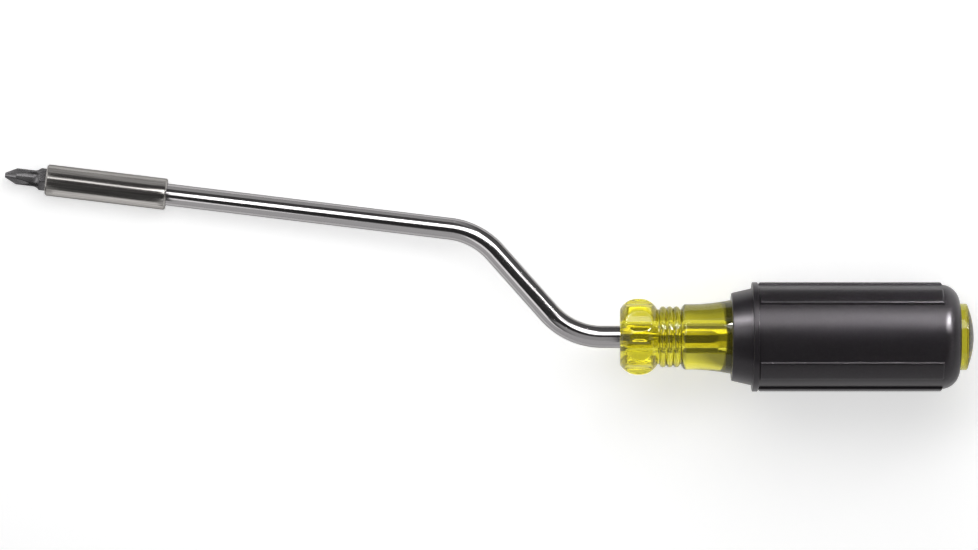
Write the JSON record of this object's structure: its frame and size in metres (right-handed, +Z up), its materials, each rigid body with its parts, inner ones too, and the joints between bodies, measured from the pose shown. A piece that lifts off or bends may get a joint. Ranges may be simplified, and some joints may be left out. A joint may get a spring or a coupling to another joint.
{
  "type": "multi-bit screwdriver",
  "caption": "Speed screwdriver with a cranked shank that turns in a cushion-grip handle, and a hex bit holder with a reversible cross and flat bit.",
  "frame": {"origin": "on the surface that the tool lies on, under the middle of its outer box", "axes": "+X along the handle's axis from the bit end towards the butt, +Y towards the side that the crank leans to, +Z up"},
  "size_m": [0.2982, 0.0684, 0.0337],
  "materials": {
    "acetate": "clear yellow moulded cellulose acetate, polished",
    "grip_rubber": "black moulded elastomer, satin",
    "chrome_plate": "bright chrome plate on steel rod",
    "holder_steel": "turned and brushed, nickel plated",
    "bit_steel": "grey phosphate on hardened steel",
    "spring_steel": "oiled spring steel"
  },
  "bodies": {
    "handle": {"handle_core": "acetate", "cushion_grip": "grip_rubber", "butt_cap": "acetate", "thrust_washer": "spring_steel", "thrust_disc": "spring_steel"},
    "shank": {"bent_shank": "chrome_plate", "retaining_ring": "spring_steel", "bit_holder": "holder_steel", "bit_clip": "spring_steel"},
    "bit": {"reversible_bit": "bit_steel"}
  },
  "joints": [
    {"name": "shank_spin", "type": "hinge", "parent": "handle", "child": "shank", "pos_m": [0.04021, -0.01736, 0.01687], "axis": [1, 0, 0], "continuous": true},
    {"name": "bit_pull", "type": "slide", "parent": "shank", "child": "bit", "axis": [-0.9928, 0.1164, -0.0299], "range_m": [0, 0.0277]}
  ]
}
